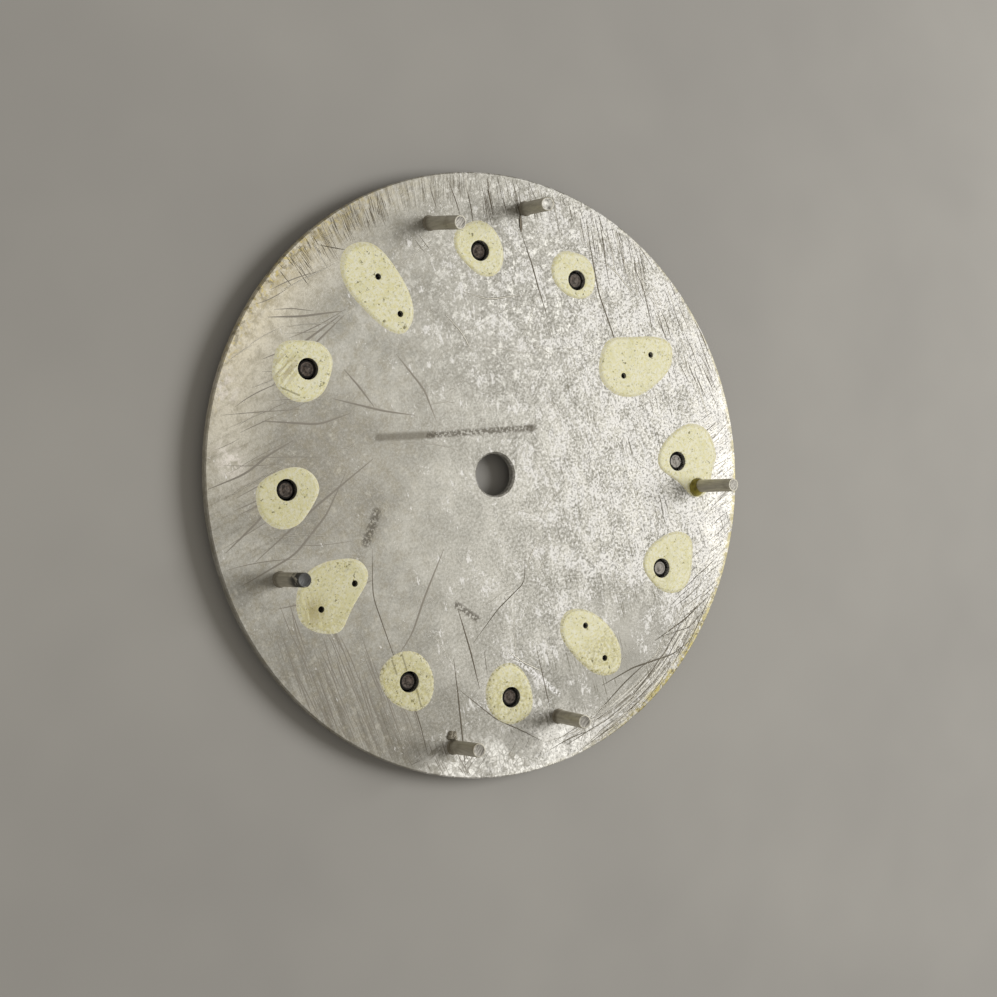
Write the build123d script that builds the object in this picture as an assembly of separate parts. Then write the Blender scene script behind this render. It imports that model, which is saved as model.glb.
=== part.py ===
from build123d import *
import os
from math import cos, radians, sin

# A wrist-watch dial lying face down, as it lies on a bench while its back is worked on.
# Millimetres. The origin is the centre of the hand hole on the dial's back face.
# +Z points out of the back, the side that faces the movement, and +Y points to 12 o'clock.
# Seen from the back, the hours run the other way round from a clock face.

# Plate: a silver-plated brass disc, lacquered on its front, that carries everything else
plate_diameter = 28.5
plate_thickness = 0.4
plate_edge_break = 0.06
hand_hole_diameter = 2.0
hand_hole_lip = 0.08

# Round hour markers: a turned cup with a thick peg, its cup filled with luminous paint
round_marker_hours = [1, 2, 4, 5, 7, 8, 10, 11]
round_marker_circle_radius = 10.55
cup_diameter = 2.3
peg_hole_diameter = 0.98
peg_diameter = 0.8
peg_recess = 0.12

# Baton hour markers: a long bar with two thin pins, its pocket filled with the same paint
baton_hours = [3, 6, 9, 12]
baton_circle_radius = 9.8
baton_length = 3.4
baton_width = 1.3
baton_edge_break = 0.06
pin_spacing = 1.97
pin_hole_diameter = 0.3
pin_diameter = 0.26
pin_recess = 0.16

# Both kinds of marker stand equally proud of the front, so the dial rests level on them
marker_height = 0.64
marker_wall = 0.17
marker_floor = 0.16
paint_recess = 0.04
paint_gap = 0.01

# Feet: six posts of one wire, welded on the back in three pairs, each bent a little in use.
# A place is a radius and a turn in degrees clockwise from 12 o'clock, seen from the back.
# A lean is how far the post runs to the right and towards 12 o'clock, as shares of its length.
foot_diameter = 0.64
foot_length = 2.6
foot_weld_width = 0.08
foot_weld_height = 0.16
foot_a_radius = 12.08
foot_b_radius = 12.85
foot_c_radius = 11.8
foot_places = {
    "a1": (foot_a_radius, 17.8),
    "a2": (foot_a_radius, 197.8),
    "b1": (foot_b_radius, 42.0),
    "b2": (foot_b_radius, 224.5),
    "c1": (foot_c_radius, 126.5),
    "c2": (foot_c_radius, 280.8),
}
foot_lean_shares = {
    "a1": (0.0, -0.17),
    "a2": (-0.05, 0.04),
    "b1": (-0.16, -0.01),
    "b2": (0.01, 0.07),
    "c1": (0.09, -0.06),
    "c2": (0.03, 0.0),
}

# Glue: a thin spot of clear adhesive round each marker's pegs. Every outline goes clockwise,
# seen from the back, as shares of spot_radius to the right and outwards from the marker.
spot_radius = 1.0
spot_thickness = 0.05
spot_top_share = 0.93
glue_foot_gap = 0.02
spot_outline_shares = {
    12: [(-0.25, 2.83), (0.65, 2.3), (1.0, 1.0), (0.95, -0.5), (0.45, -1.5),
         (-0.35, -1.8), (-1.05, -1.05), (-1.45, 0.2), (-1.6, 1.6), (-1.2, 2.5)],
    11: [(0.0, 1.42), (0.65, 1.2), (1.15, 0.5), (1.25, -0.4), (0.8, -1.1),
         (0.1, -1.2), (-0.75, -0.65), (-1.3, 0.1), (-1.2, 0.9), (-0.6, 1.25)],
    10: [(-0.4, 1.25), (0.4, 1.15), (0.95, 0.5), (1.0, -0.25), (0.5, -0.75),
         (-0.4, -0.9), (-1.2, -0.6), (-1.55, 0.0), (-1.4, 0.75)],
    9: [(0.45, 2.3), (1.1, 1.75), (1.4, 0.5), (1.25, -0.9), (0.55, -1.85),
        (-0.5, -2.2), (-1.5, -1.6), (-1.9, -0.8), (-1.4, 0.4), (-0.6, 1.75)],
    8: [(0.1, 2.4), (1.0, 2.05), (1.75, 1.6), (1.85, 0.9), (1.15, 0.1), (0.6, -0.7),
        (0.1, -1.15), (-0.7, -0.95), (-1.5, -0.05), (-1.85, 0.95), (-1.5, 1.95), (-0.8, 2.35)],
    7: [(0.0, 1.8), (0.7, 1.4), (1.0, 0.6), (0.8, -0.4), (0.35, -1.05),
        (-0.4, -1.15), (-1.4, -0.65), (-2.1, 0.15), (-2.15, 0.95), (-1.2, 1.55)],
    6: [(-0.1, 1.95), (0.65, 1.55), (1.15, 0.65), (1.4, -0.5), (1.3, -1.6),
        (0.6, -2.15), (-0.3, -1.75), (-0.95, -0.7), (-1.15, 0.45), (-0.85, 1.5)],
    5: [(0.2, 1.25), (0.85, 0.9), (1.3, 0.2), (1.25, -0.75), (0.6, -1.5),
        (-0.15, -1.6), (-0.85, -1.0), (-1.15, -0.2), (-1.0, 0.85), (-0.45, 1.2)],
    4: [(0.1, 1.2), (0.9, 0.95), (1.5, 0.25), (1.45, -0.35), (0.9, -1.1),
        (0.2, -1.35), (-0.6, -1.1), (-1.25, -0.35), (-1.35, 0.5), (-0.85, 1.1)],
    3: [(0.3, 2.05), (1.1, 1.65), (1.65, 0.85), (1.7, 0.0), (1.3, -1.05), (0.6, -1.8),
        (0.0, -1.8), (-0.55, -1.0), (-1.0, 0.0), (-1.35, 0.8), (-0.95, 1.5), (-0.35, 1.95)],
    2: [(-0.3, 1.45), (0.35, 1.25), (0.8, 0.45), (0.98, -0.5), (0.6, -1.3),
        (0.0, -1.55), (-0.75, -1.2), (-1.6, -0.35), (-1.7, 0.4), (-1.1, 1.25)],
    1: [(-0.2, 1.65), (0.55, 1.5), (1.0, 0.8), (1.3, 0.05), (1.0, -0.8),
        (0.2, -1.1), (-0.6, -1.1), (-1.4, -0.5), (-1.6, 0.3), (-1.1, 1.3)],
}

# How far a cutting shape runs past the face that it cuts
cut_overrun = 0.5

# Levels that follow from the sizes above
plate_front = -plate_thickness
marker_top = plate_front - marker_height
paint_bottom = plate_front - marker_floor
paint_top = marker_top + paint_recess
degrees_per_hour = 360 / 12


def at_hour(hour, radius):
    """Place at an hour: local +Y points outwards and +X clockwise, seen from the back."""
    return Rot(0, 0, degrees_per_hour * hour) * Pos(0, radius, 0)


def at_foot(foot):
    """Place of a foot's root on the back face, unturned."""
    radius, turn = foot_places[foot]
    return Pos(radius * sin(radians(turn)), radius * cos(radians(turn)), 0)


def disc(diameter, low, high):
    """Round bar from one level to the next."""
    return Pos(0, 0, low) * Cylinder(
        diameter / 2, high - low, align=(Align.CENTER, Align.CENTER, Align.MIN))


def pin_places():
    """The two places of a baton's pins, from the baton's middle."""
    return [Pos(0, side * pin_spacing / 2, 0) for side in (-1, 1)]


def marker_holes():
    """Cutters for all the peg holes and pin holes in the plate."""
    peg_hole = disc(peg_hole_diameter, plate_front - cut_overrun, cut_overrun)
    pin_hole = disc(pin_hole_diameter, plate_front - cut_overrun, cut_overrun)
    holes = [at_hour(hour, round_marker_circle_radius) * peg_hole for hour in round_marker_hours]
    for hour in baton_hours:
        holes += [at_hour(hour, baton_circle_radius) * place * pin_hole for place in pin_places()]
    return holes


def make_plate():
    """Plate with its hand hole and marker holes, its back edges broken."""
    plate = disc(plate_diameter, plate_front, 0)
    plate = chamfer(plate.edges().group_by(Axis.Z)[-1], plate_edge_break)
    plate -= disc(hand_hole_diameter, plate_front - cut_overrun, cut_overrun)
    lip_edges = plate.faces().sort_by(Axis.Z)[-1].inner_wires().edges()
    plate = chamfer(lip_edges, hand_hole_lip)
    return plate - marker_holes()


def make_foot(foot):
    """Post that leans from the back face, its base cut off flush inside a low weld."""
    right, up = foot_lean_shares[foot]
    lean = Vector(right, up, (1 - right ** 2 - up ** 2) ** 0.5)
    post = Plane(origin=(0, 0, 0), z_dir=lean) * disc(foot_diameter, -cut_overrun, foot_length)
    weld = Cone(foot_diameter / 2 + foot_weld_width, foot_diameter / 2 + foot_weld_width / 2,
                foot_weld_height, align=(Align.CENTER, Align.CENTER, Align.MIN))
    return at_foot(foot) * (split(post, bisect_by=Plane.XY, keep=Keep.TOP) + weld)


def make_cup():
    """Turned cup of a round marker, its open side to the front, with its peg."""
    cup_radius = cup_diameter / 2
    profile = Polyline(
        (0, paint_bottom),
        (cup_radius - marker_wall, paint_bottom),
        (cup_radius - marker_wall, marker_top),
        (cup_radius, marker_top),
        (cup_radius, plate_front),
        (peg_diameter / 2, plate_front),
        (peg_diameter / 2, -peg_recess),
        (0, -peg_recess),
        close=True)
    return revolve(Plane.XZ * make_face(profile), Axis.Z)


def make_paint_dot():
    """Paint in a round marker's cup, a little below its rim."""
    return disc(cup_diameter - 2 * marker_wall - 2 * paint_gap, paint_top, paint_bottom)


def bar(length, width, low, high):
    """Square-cornered bar, its length along local Y."""
    return extrude(Pos(0, 0, low) * Rectangle(width, length), high - low)


def make_baton():
    """Baton with a pocket for paint and two pins through the plate."""
    baton = bar(baton_length, baton_width, marker_top, plate_front)
    baton = chamfer(baton.edges().group_by(Axis.Z)[0], baton_edge_break)
    baton -= bar(baton_length - 2 * marker_wall, baton_width - 2 * marker_wall,
                 marker_top - cut_overrun, paint_bottom)
    pin = disc(pin_diameter, plate_front, -pin_recess)
    for place in pin_places():
        baton += place * pin
    return baton


def make_paint_bar():
    """Paint in a baton's pocket, a little below its rim."""
    gap = marker_wall + paint_gap
    return bar(baton_length - 2 * gap, baton_width - 2 * gap, paint_top, paint_bottom)


def spot_film(hour):
    """Thin film of glue with an irregular outline, standing on the back face."""
    points = [(spot_radius * right, spot_radius * out) for right, out in spot_outline_shares[hour]]
    base = make_face(Spline(*points, periodic=True))
    middle = base.center()
    top = Pos(middle.X, middle.Y, spot_thickness) * scale(
        Pos(-middle.X, -middle.Y, 0) * base, spot_top_share)
    return loft([base, top], ruled=True)


def make_glue_spot(hour):
    """Glue film. It closes over the thin pins, and a peg hole or a foot is let through it."""
    if hour in baton_hours:
        spot = at_hour(hour, baton_circle_radius) * spot_film(hour)
    else:
        film = spot_film(hour) - disc(peg_hole_diameter, -cut_overrun, cut_overrun)
        spot = at_hour(hour, round_marker_circle_radius) * film
    weld_hole = disc(
        foot_diameter + 2 * foot_weld_width + 2 * glue_foot_gap, -cut_overrun, cut_overrun)
    return spot - [at_foot(foot) * weld_hole for foot in foot_places]


def save(node, shape):
    """Write one piece under its node name."""
    export_step(shape, "parts/" + node + ".step")


os.makedirs("parts", exist_ok=True)
save("dial_plate", make_plate())
for foot in foot_places:
    save("dial_foot_" + foot, make_foot(foot))
for hour in round_marker_hours:
    place = at_hour(hour, round_marker_circle_radius)
    save("marker_cup_%02d" % hour, place * make_cup())
    save("paint_dot_%02d" % hour, place * make_paint_dot())
for hour in baton_hours:
    place = at_hour(hour, baton_circle_radius)
    save("marker_baton_%02d" % hour, place * make_baton())
    save("paint_bar_%02d" % hour, place * make_paint_bar())
for hour in spot_outline_shares:
    save("glue_spot_%02d" % hour, make_glue_spot(hour))
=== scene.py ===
# %% [markdown]
# # The back of a watch dial
# A watch dial lies face down, so we look at its back: a thin silver-plated brass disc with six
# wire feet, and round each hour marker's pegs a spot of clear glue. The solids come from the
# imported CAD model. Blender gives them their finish, and the fine forms that are too small there.
# Everything is in metres in the CAD's own frame: the back face is at height 0 and the feet point
# up, so a size in millimetres is multiplied by mm.

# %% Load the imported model
import math
import random

import bmesh
import bpy
from mathutils import Matrix, Vector


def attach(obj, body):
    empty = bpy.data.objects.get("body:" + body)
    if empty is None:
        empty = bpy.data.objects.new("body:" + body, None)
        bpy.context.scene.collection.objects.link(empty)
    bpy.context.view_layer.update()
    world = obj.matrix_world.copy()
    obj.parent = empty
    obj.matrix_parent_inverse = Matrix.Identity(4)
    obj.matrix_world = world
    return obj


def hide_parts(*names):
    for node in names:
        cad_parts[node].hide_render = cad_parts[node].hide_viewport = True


mm = 0.001
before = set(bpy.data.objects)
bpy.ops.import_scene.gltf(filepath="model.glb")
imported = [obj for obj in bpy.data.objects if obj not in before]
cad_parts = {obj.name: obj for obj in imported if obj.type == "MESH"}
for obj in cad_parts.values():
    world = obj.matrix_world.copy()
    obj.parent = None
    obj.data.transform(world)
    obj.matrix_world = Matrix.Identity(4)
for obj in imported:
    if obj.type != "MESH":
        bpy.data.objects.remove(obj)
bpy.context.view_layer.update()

# %% [markdown]
# ## Camera
# The photograph was taken by hand with a phone, from about 30 degrees off the dial's normal. The
# lens, the place and the turn come from fitting the twelve hour positions and the disc's outline
# in the photograph, so the render lines up with it. Near objects need a short clip start: the
# camera is only 75 mm away.

# %% Camera
camera_place = (-31.6482558, 18.84853311, 65.16903093)
camera_turn = (1.01653258, -29.53447701, -34.59762145)
camera_data = bpy.data.cameras.new("camera")
camera_data.lens = 57.3252
camera_data.clip_start = 1 * mm
camera = bpy.data.objects.new("camera", camera_data)
camera.location = Vector(camera_place) * mm
camera.rotation_euler = [math.radians(angle) for angle in camera_turn]
bpy.context.scene.collection.objects.link(camera)
bpy.context.scene.camera = camera
print("camera distance in mm:", round(camera.location.length / mm, 1))

# %% [markdown]
# ## Materials, one node at a time
# A finish is a small tree of nodes. One function adds any node with its settings and links and
# gives back its live output, so a tree is written in the order in which it is read. Colours are
# written as sRGB hex, as a painter would pick them, and turned to the linear values of the shader.

# %% Colour and node helpers
soft = {"interpolation_type": "SMOOTHSTEP"}


def srgb(hex_colour):
    """Linear colour of an sRGB hex value."""
    shares = [int(hex_colour[i:i + 2], 16) / 255 for i in (1, 3, 5)]
    return (*[s / 12.92 if s <= 0.04045 else ((s + 0.055) / 1.055) ** 2.4 for s in shares], 1)


def node(material, kind, inputs=(), out=None, **settings):
    """Adds a node, sets its properties, fills or links its inputs, and gives its live output.
    Inputs are a list in the order of the node's panel, or a dict by name. A hex colour is made
    linear."""
    new = material.node_tree.nodes.new("ShaderNode" + kind)
    for name, value in settings.items():
        setattr(new, name, value)
    if isinstance(inputs, dict):
        filled = [(new.inputs[name], value) for name, value in inputs.items()]
    else:
        filled = zip([socket for socket in new.inputs if socket.enabled], inputs)
    for socket, value in filled:
        if isinstance(value, bpy.types.NodeSocket):
            material.node_tree.links.new(value, socket)
        else:
            socket.default_value = srgb(value) if isinstance(value, str) else value
    live = [socket for socket in new.outputs if socket.enabled]
    return new.outputs[out] if out else live[0] if live else new


def start_finish(name):
    """A new material, and the place on the object in millimetres for its patterns."""
    material = bpy.data.materials.new(name)
    material.use_nodes = True
    material.node_tree.nodes.clear()
    place = node(material, "TexCoord", out="Object")
    return material, node(material, "Mapping", {"Vector": place, "Scale": (1 / mm,) * 3})


def end_finish(material, relief=None, depth=0.0, **sockets):
    """The shader and the output. Relief from 0 to 1 stands for that depth in mm, and a socket's
    name is written with _ for a space."""
    inputs = {name.replace("_", " "): value for name, value in sockets.items()}
    if relief:
        inputs["Normal"] = node(material, "Bump", {"Height": relief, "Distance": depth * mm})
    shader = node(material, "BsdfPrincipled", inputs)
    node(material, "OutputMaterial", {"Surface": shader})
    print(material.name, "nodes:", len(material.node_tree.nodes))
    return material


def patches(material, place, size, low, high, detail=3.0, roughness=0.6):
    """Mask of uneven patches about that size in mm, 0 where a cloudy noise is low, 1 where high."""
    cloud = node(material, "TexNoise", [place, 1 / size, detail, roughness])
    return node(material, "MapRange", [cloud, low, high], **soft)


def strokes(material, place, width, length, turn, detail=2.0):
    """Noise drawn out to strokes of that width and length in mm, turned in degrees from +X."""
    place = node(material, "Mapping", {"Vector": place, "Rotation": (0, 0, math.radians(-turn))})
    scale = (1 / length, 1 / width, 1 / width)
    place = node(material, "Mapping", {"Vector": place, "Scale": scale})
    return node(material, "TexNoise", [place, 1, detail, 0.6])


def lay(material, colour, *layers):
    """Lays colours one over another. A layer is a colour and the masks that have to overlap for
    it to show; a mask may be a plain share."""
    for over, share, *masks in layers:
        for mask in masks:
            share = node(material, "Math", [share, mask], operation="MULTIPLY")
        colour = node(material, "Mix", [share, colour, over], data_type="RGBA")
    return colour


# %% [markdown]
# ## Modelling helpers
# An operator acts on all that is selected, so everything is deselected before a new piece, and in
# edit mode faces and edges are picked by their place and by the way they face.

# %% Modelling helpers
def start_piece():
    """Nothing selected, in object mode."""
    if bpy.context.object and bpy.context.object.mode != "OBJECT":
        bpy.ops.object.mode_set(mode="OBJECT")
    bpy.ops.object.select_all(action="DESELECT")


def only(piece):
    """Selects this piece alone."""
    start_piece()
    piece.select_set(True)
    bpy.context.view_layer.objects.active = piece


def pick(kind, rule):
    """In edit mode, selects the faces or edges that pass rule(middle in mm, normal)."""
    bpy.ops.mesh.select_mode(type=kind)
    bpy.ops.mesh.select_all(action="DESELECT")
    shape = bmesh.from_edit_mesh(bpy.context.object.data)
    shape.normal_update()
    for item in shape.faces if kind == "FACE" else shape.edges:
        middle = sum((vertex.co for vertex in item.verts), Vector()) / len(item.verts) / mm
        normal = item.normal if kind == "FACE" else sum(
            (face.normal for face in item.link_faces), Vector())
        item.select_set(bool(rule(middle, normal)))
    bmesh.update_edit_mesh(bpy.context.object.data)


def shape_edit(piece):
    """Opens this piece in edit mode."""
    only(piece)
    bpy.ops.object.mode_set(mode="EDIT")


def merge_doubles(piece):
    """Opens this piece in edit mode and merges the points that lie on one another."""
    shape_edit(piece)
    bpy.ops.mesh.select_all(action="SELECT")
    bpy.ops.mesh.remove_doubles(threshold=0.001 * mm)


def cut_level():
    """In edit mode, cuts the piece off level with the back face and closes the cut."""
    bpy.ops.mesh.select_all(action="SELECT")
    bpy.ops.mesh.bisect(plane_co=(0, 0, 0), plane_no=(0, 0, 1), clear_inner=True, use_fill=True,
                        threshold=0.0001 * mm)


def terrace(*steps):
    """Insets the picked faces and moves what is left along Z, for each pair of numbers in mm."""
    for thickness, move in steps:
        bpy.ops.mesh.inset(thickness=thickness * mm)
        bpy.ops.transform.translate(value=(0, 0, move * mm))


def modify(piece, kind, **settings):
    """Adds a modifier and applies it."""
    only(piece)
    modifier = piece.modifiers.new(kind.lower(), kind)
    for name, value in settings.items():
        setattr(modifier, name, value)
    bpy.ops.object.modifier_apply(modifier=modifier.name)


def smooth(piece, angle=35):
    """Smooth shading with the sharp edges kept."""
    only(piece)
    bpy.ops.object.shade_smooth_by_angle(angle=math.radians(angle))


def copy_piece(piece, name, matrix):
    """A copy with its own mesh, moved by a matrix in its mesh."""
    new = piece.copy()
    new.data = piece.data.copy()
    new.name = new.data.name = name
    new.data.transform(matrix)
    bpy.context.scene.collection.objects.link(new)
    return new


def settle(piece, record_slot, *nodes):
    """The piece rides on the dial and stands for nodes, whose CAD pieces are hidden. record_slot is
    not used.
    """
    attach(piece, "root")
    if nodes:
        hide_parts(*nodes)
    print(piece.name, "faces:", len(piece.data.polygons))


# %% [markdown]
# ## Sizes
# The named sizes of the CAD source, in millimetres. Only the weld round a foot is drawn tighter
# than there, 0.37 and 0.09 for 0.4 and 0.16, because the photograph shows no flare.

# %% Sizes
plate_radius = 14.25
plate_front = -0.4
hand_hole_radius = 1.0
round_hours = [1, 2, 4, 5, 7, 8, 10, 11]
baton_hours = [3, 6, 9, 12]
round_circle = 10.55
baton_circle = 9.8
cup_radius = 1.15
peg_radius = 0.4
peg_hole_radius = 0.49
peg_recess = 0.12
baton_length = 3.4
baton_width = 1.3
pin_spacing = 1.97
pin_radius = 0.13
pin_hole_radius = 0.15
pin_recess = 0.16
marker_top = -1.04
marker_wall = 0.17
paint_bottom = -0.56
paint_top = -1.0
paint_gap = 0.01
glue_height = 0.05
foot_radius = 0.32
foot_length = 2.6
weld_radius = 0.37
weld_height = 0.09
foot_places = {
    "a1": (12.08, 17.8), "a2": (12.08, 197.8), "b1": (12.85, 42.0),
    "b2": (12.85, 224.5), "c1": (11.8, 126.5), "c2": (11.8, 280.8)}
foot_leans = {
    "a1": (0.0, -0.17), "a2": (-0.05, 0.04), "b1": (-0.16, -0.01),
    "b2": (0.01, 0.07), "c1": (0.09, -0.06), "c2": (0.03, 0.0)}


def at_hour(hour, radius):
    """Matrix to an hour: local +Y points outwards."""
    turn = Matrix.Rotation(math.radians(30 * hour), 4, "Z")
    return turn @ Matrix.Translation((0, radius * mm, 0))


def foot_place(foot):
    """Where a foot stands on the back face, in mm."""
    radius, turn = foot_places[foot]
    return Vector((radius * math.sin(math.radians(turn)), radius * math.cos(math.radians(turn)), 0))


# %% [markdown]
# ## Floor and light
# A plain matt floor just under the markers that the dial lies on. The light is a soft room light
# from all round and one large soft lamp low on the right of the picture, because in the
# photograph the feet and the disc throw soft shadows to the left.

# %% Floor
# Broad faint clouds of two greys, so the floor looks like paper and not like a flat tint.
m, place = start_finish("matt_grey_paper")
colour = lay(m, "#a3a19e", ("#aeaca8", patches(m, place, 30, 0.3, 0.7, 4.0)))
floor_finish = end_finish(m, Roughness=0.9, Base_Color=colour)
floor_size = 900
floor_height = marker_top - 0.02
start_piece()
bpy.ops.mesh.primitive_plane_add(size=floor_size * mm, location=(0, 0, floor_height * mm))
floor = bpy.context.object
floor.name = "floor"
floor.data.materials.append(floor_finish)

# %% Light
room = bpy.data.worlds.new("room")
room.use_nodes = True
room.node_tree.nodes["Background"].inputs["Color"].default_value = srgb("#f7f1e5")
room.node_tree.nodes["Background"].inputs["Strength"].default_value = 0.39
bpy.context.scene.world = room

lamp_size = 110
lamp_distance = 190
lamp_data = bpy.data.lights.new("soft_lamp", "AREA")
lamp_data.shape = "DISK"
lamp_data.size = lamp_size * mm
lamp_data.energy = 0.226
lamp_data.color = srgb("#fffefb")[:3]
lamp = bpy.data.objects.new("soft_lamp", lamp_data)
picture_right = Vector((0.838, -0.546, 0))
picture_up = Vector((0.546, 0.838, 0))
lamp_way = (picture_right * 0.72 + picture_up * 0.09 + Vector((0, 0, 0.72))).normalized()
lamp.location = lamp_way * lamp_distance * mm
lamp.rotation_euler = lamp_way.to_track_quat("Z", "Y").to_euler()
print("lamp in mm:", [round(value / mm) for value in lamp.location])
bpy.context.scene.collection.objects.link(lamp)
bpy.context.scene.view_settings.view_transform = "Standard"

# %% [markdown]
# ## Silver-plated brass
# The plate is rolled brass with a thin matt silver plating. Years of handling have left it grey
# and cloudy, with dark burnished strokes, and file marks round the rim, where yellow brass shows
# through. Its pale flecks are the plating's grain with its glints painted in as highlights, denser
# on the right, towards the lamp, and the bottom and the left get painted shade. Each of those is
# one pattern with its own size, and the masks say where on the dial it is.

# %% Masks that say where on the plate
# Matt silver grey that is never even: soft clouds, a fine sparkle painted in as highlights, and a
# warm worn edge.
m, place = start_finish("silver_plated_brass")


# These masks are drawn on the finish that is being made, m, at its place.
def blob(middle, size, turn=0, stretch=1.0):
    """1 in the middle of a soft oval spot, 0 outside it, with places and sizes in mm."""
    near = node(m, "Mapping", {
        "Vector": place, "Location": (*middle, 0), "Rotation": (0, 0, math.radians(turn)),
        "Scale": (size * stretch, size, 1000)}, vector_type="TEXTURE")
    away = node(m, "VectorMath", [near], operation="LENGTH")
    return node(m, "MapRange", [away, 0, 1, 1, 0], **soft)


def line(start, end, width):
    """1 along a straight stroke with soft sides and round ends, 0 outside it, in mm."""
    way = Vector(end) - Vector(start)
    near = node(m, "Mapping", {
        "Vector": place, "Location": (*(Vector(start) + way / 2), 0),
        "Rotation": (0, 0, math.atan2(way.y, way.x)), "Scale": (1, 1, 1000)}, vector_type="TEXTURE")
    near = node(m, "VectorMath", [near], operation="ABSOLUTE")
    near = node(m, "VectorMath", [near, (way.length / 2, 0, 0)], operation="SUBTRACT")
    near = node(m, "VectorMath", [near, (0, 0, 0)], operation="MAXIMUM")
    away = node(m, "VectorMath", [near], operation="LENGTH")
    return node(m, "MapRange", [away, width * 0.2, width * 0.6, 1, 0], **soft)


def near_rim(inner, outer):
    """0 inside the inner radius, 1 outside the outer one."""
    away = node(m, "VectorMath", [place], operation="LENGTH")
    return node(m, "MapRange", [away, inner, outer], **soft)


def along(way, low, high, *ends):
    """0 up to low and 1 from high on, in mm from the middle that way. Ends 1, 0 turn it round."""
    reach = node(m, "VectorMath", [place, way], operation="DOT_PRODUCT")
    return node(m, "MapRange", [reach, low, high, *ends], **soft)


# The right side faces the lamp: glints, flecks and sheen are painted denser there as highlights.
right_side = along(picture_right, -7, 9)
left_side = along(picture_right, -9, 1, 1, 0)
low_shade_side = along(picture_up, -14, 1, 1, 0)
mostly_right = node(m, "Math", [right_side, 0.6, 0.15], operation="MULTIPLY_ADD")
partly_right = node(m, "Math", [right_side, 0.3, 0.4], operation="MULTIPLY_ADD")
spared = blob((0.6, -11.2), 4.6, 8, 1.35)
matt = node(m, "Math", [1.0, spared], operation="SUBTRACT")

# %% Plate patterns: matt grain and pale flecks
# Painted highlights: how strongly the grain's glints show, more at the right and round a spot right
# of the middle.
glint_share = node(m, "Math", [right_side, 0.5, 0.15], operation="MULTIPLY_ADD")
glint_share = node(m, "Math", [blob((5.0, -4.5), 9.0), 0.35, glint_share], operation="MULTIPLY_ADD")
# The real grain is a few micrometres: at 0.13 mm it still shows in the picture.
grain = node(m, "TexNoise", [place, 1 / 0.13, 4.0, 0.8])
pits = node(m, "MapRange", [grain, 0.43, 0.475, 1, 0], **soft)
glints = node(m, "MapRange", [grain, 0.53, 0.59], **soft)
areas = strokes(m, place, 0.6, 1.5, 72, 6.0)
calm = node(m, "MapRange", [areas, 0.5, 0.58], **soft)
painted_sheen = node(m, "MapRange", [areas, 0.4, 0.48, 1, 0], **soft)
clusters = patches(m, place, 0.5, 0.53, 0.57, 7.0, 0.8)
nicks = node(m, "MapRange", [strokes(m, place, 0.09, 1.8, 72, 3.0), 0.58, 0.65], **soft)
# How densely the pale flecks lie: more in some areas, less in others, and more on the right, where
# they stand for glints as painted highlights.
dense = node(m, "Math", [patches(m, place, 1.3, 0.42, 0.66, 4.0, 0.7), 0.13], operation="MULTIPLY")
for area, more in [(right_side, 0.145), (blob((1.0, 8.5), 7.0), 0.05), (spared, -0.12),
                   (left_side, -0.035)]:
    dense = node(m, "Math", [area, more, dense], operation="MULTIPLY_ADD")
flakes = node(m, "Math", [strokes(m, place, 0.3, 0.8, 72, 6.0), dense], operation="ADD")
flakes = node(m, "MapRange", [flakes, 0.71, 0.77], **soft)
flaky_rim = node(m, "MapRange", [blob((-7.0, -12.4), 6.5, -30, 1.4), 0.2, 0.7], **soft)
flaky_rim = node(m, "Math", [near_rim(11.8, 13.2), flaky_rim], operation="MULTIPLY")
dense = node(m, "Math", [flaky_rim, 0.06, dense], operation="MULTIPLY_ADD")
flecks = node(m, "TexNoise", [place, 1 / 0.17, 5.0, 0.85])
flecks = node(m, "Math", [flecks, dense], operation="ADD")
flecks = node(m, "MapRange", [flecks, 0.685, 0.72], **soft)
flecks = node(m, "Math", [flecks, flakes], operation="MAXIMUM")

# %% Plate patterns: plating that lifts in flakes with dark cracks, at the low rim
flake_size = 0.26
wander = node(m, "TexNoise", [place, 1 / 0.5, 4.0, 0.7], out="Color")
crumpled = node(m, "VectorMath", [wander, (0.6, 0.6, 0), place], operation="MULTIPLY_ADD")
foil = node(m, "TexVoronoi", [crumpled, 1 / flake_size], out="Color")
foil = lay(m, "#b4b1a8", ("#fdfcf8", node(m, "MapRange", [foil, 0.15, 0.5])))
cracks = node(m, "TexVoronoi", [crumpled, 1 / flake_size], feature="DISTANCE_TO_EDGE")
cracks = node(m, "MapRange", [cracks, 0.03, 0.16, 1, 0], **soft)
lifted = patches(m, place, 1.1, 0.36, 0.5, 4.0, 0.7)

# %% Plate patterns: file marks, in polar form where they follow the rim
filed_circle = 13.5
east = node(m, "SeparateXYZ", [place], out="X")
north = node(m, "SeparateXYZ", [place], out="Y")
round_the_rim = node(m, "Math", [north, east], operation="ARCTAN2")
round_the_rim = node(m, "Math", [round_the_rim, filed_circle], operation="MULTIPLY")
away = node(m, "VectorMath", [place], operation="LENGTH")
polar = node(m, "CombineXYZ", [round_the_rim, away])
radial_marks = strokes(m, polar, 0.17, 1.7, 98)
left_marks = node(m, "Math", [strokes(m, place, 0.5, 3.0, -14, 4.0),
                              strokes(m, place, 0.25, 5.0, -9)], operation="ADD")
left_marks = node(m, "Math", [left_marks, 0.35, 0.15], operation="MULTIPLY_ADD")
low_marks = strokes(m, place, 0.22, 6.0, -103, 3.0)
arc_marks = strokes(m, polar, 0.14, 7.0, 0)
right_marks = strokes(m, place, 0.1, 1.4, 0)
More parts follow.
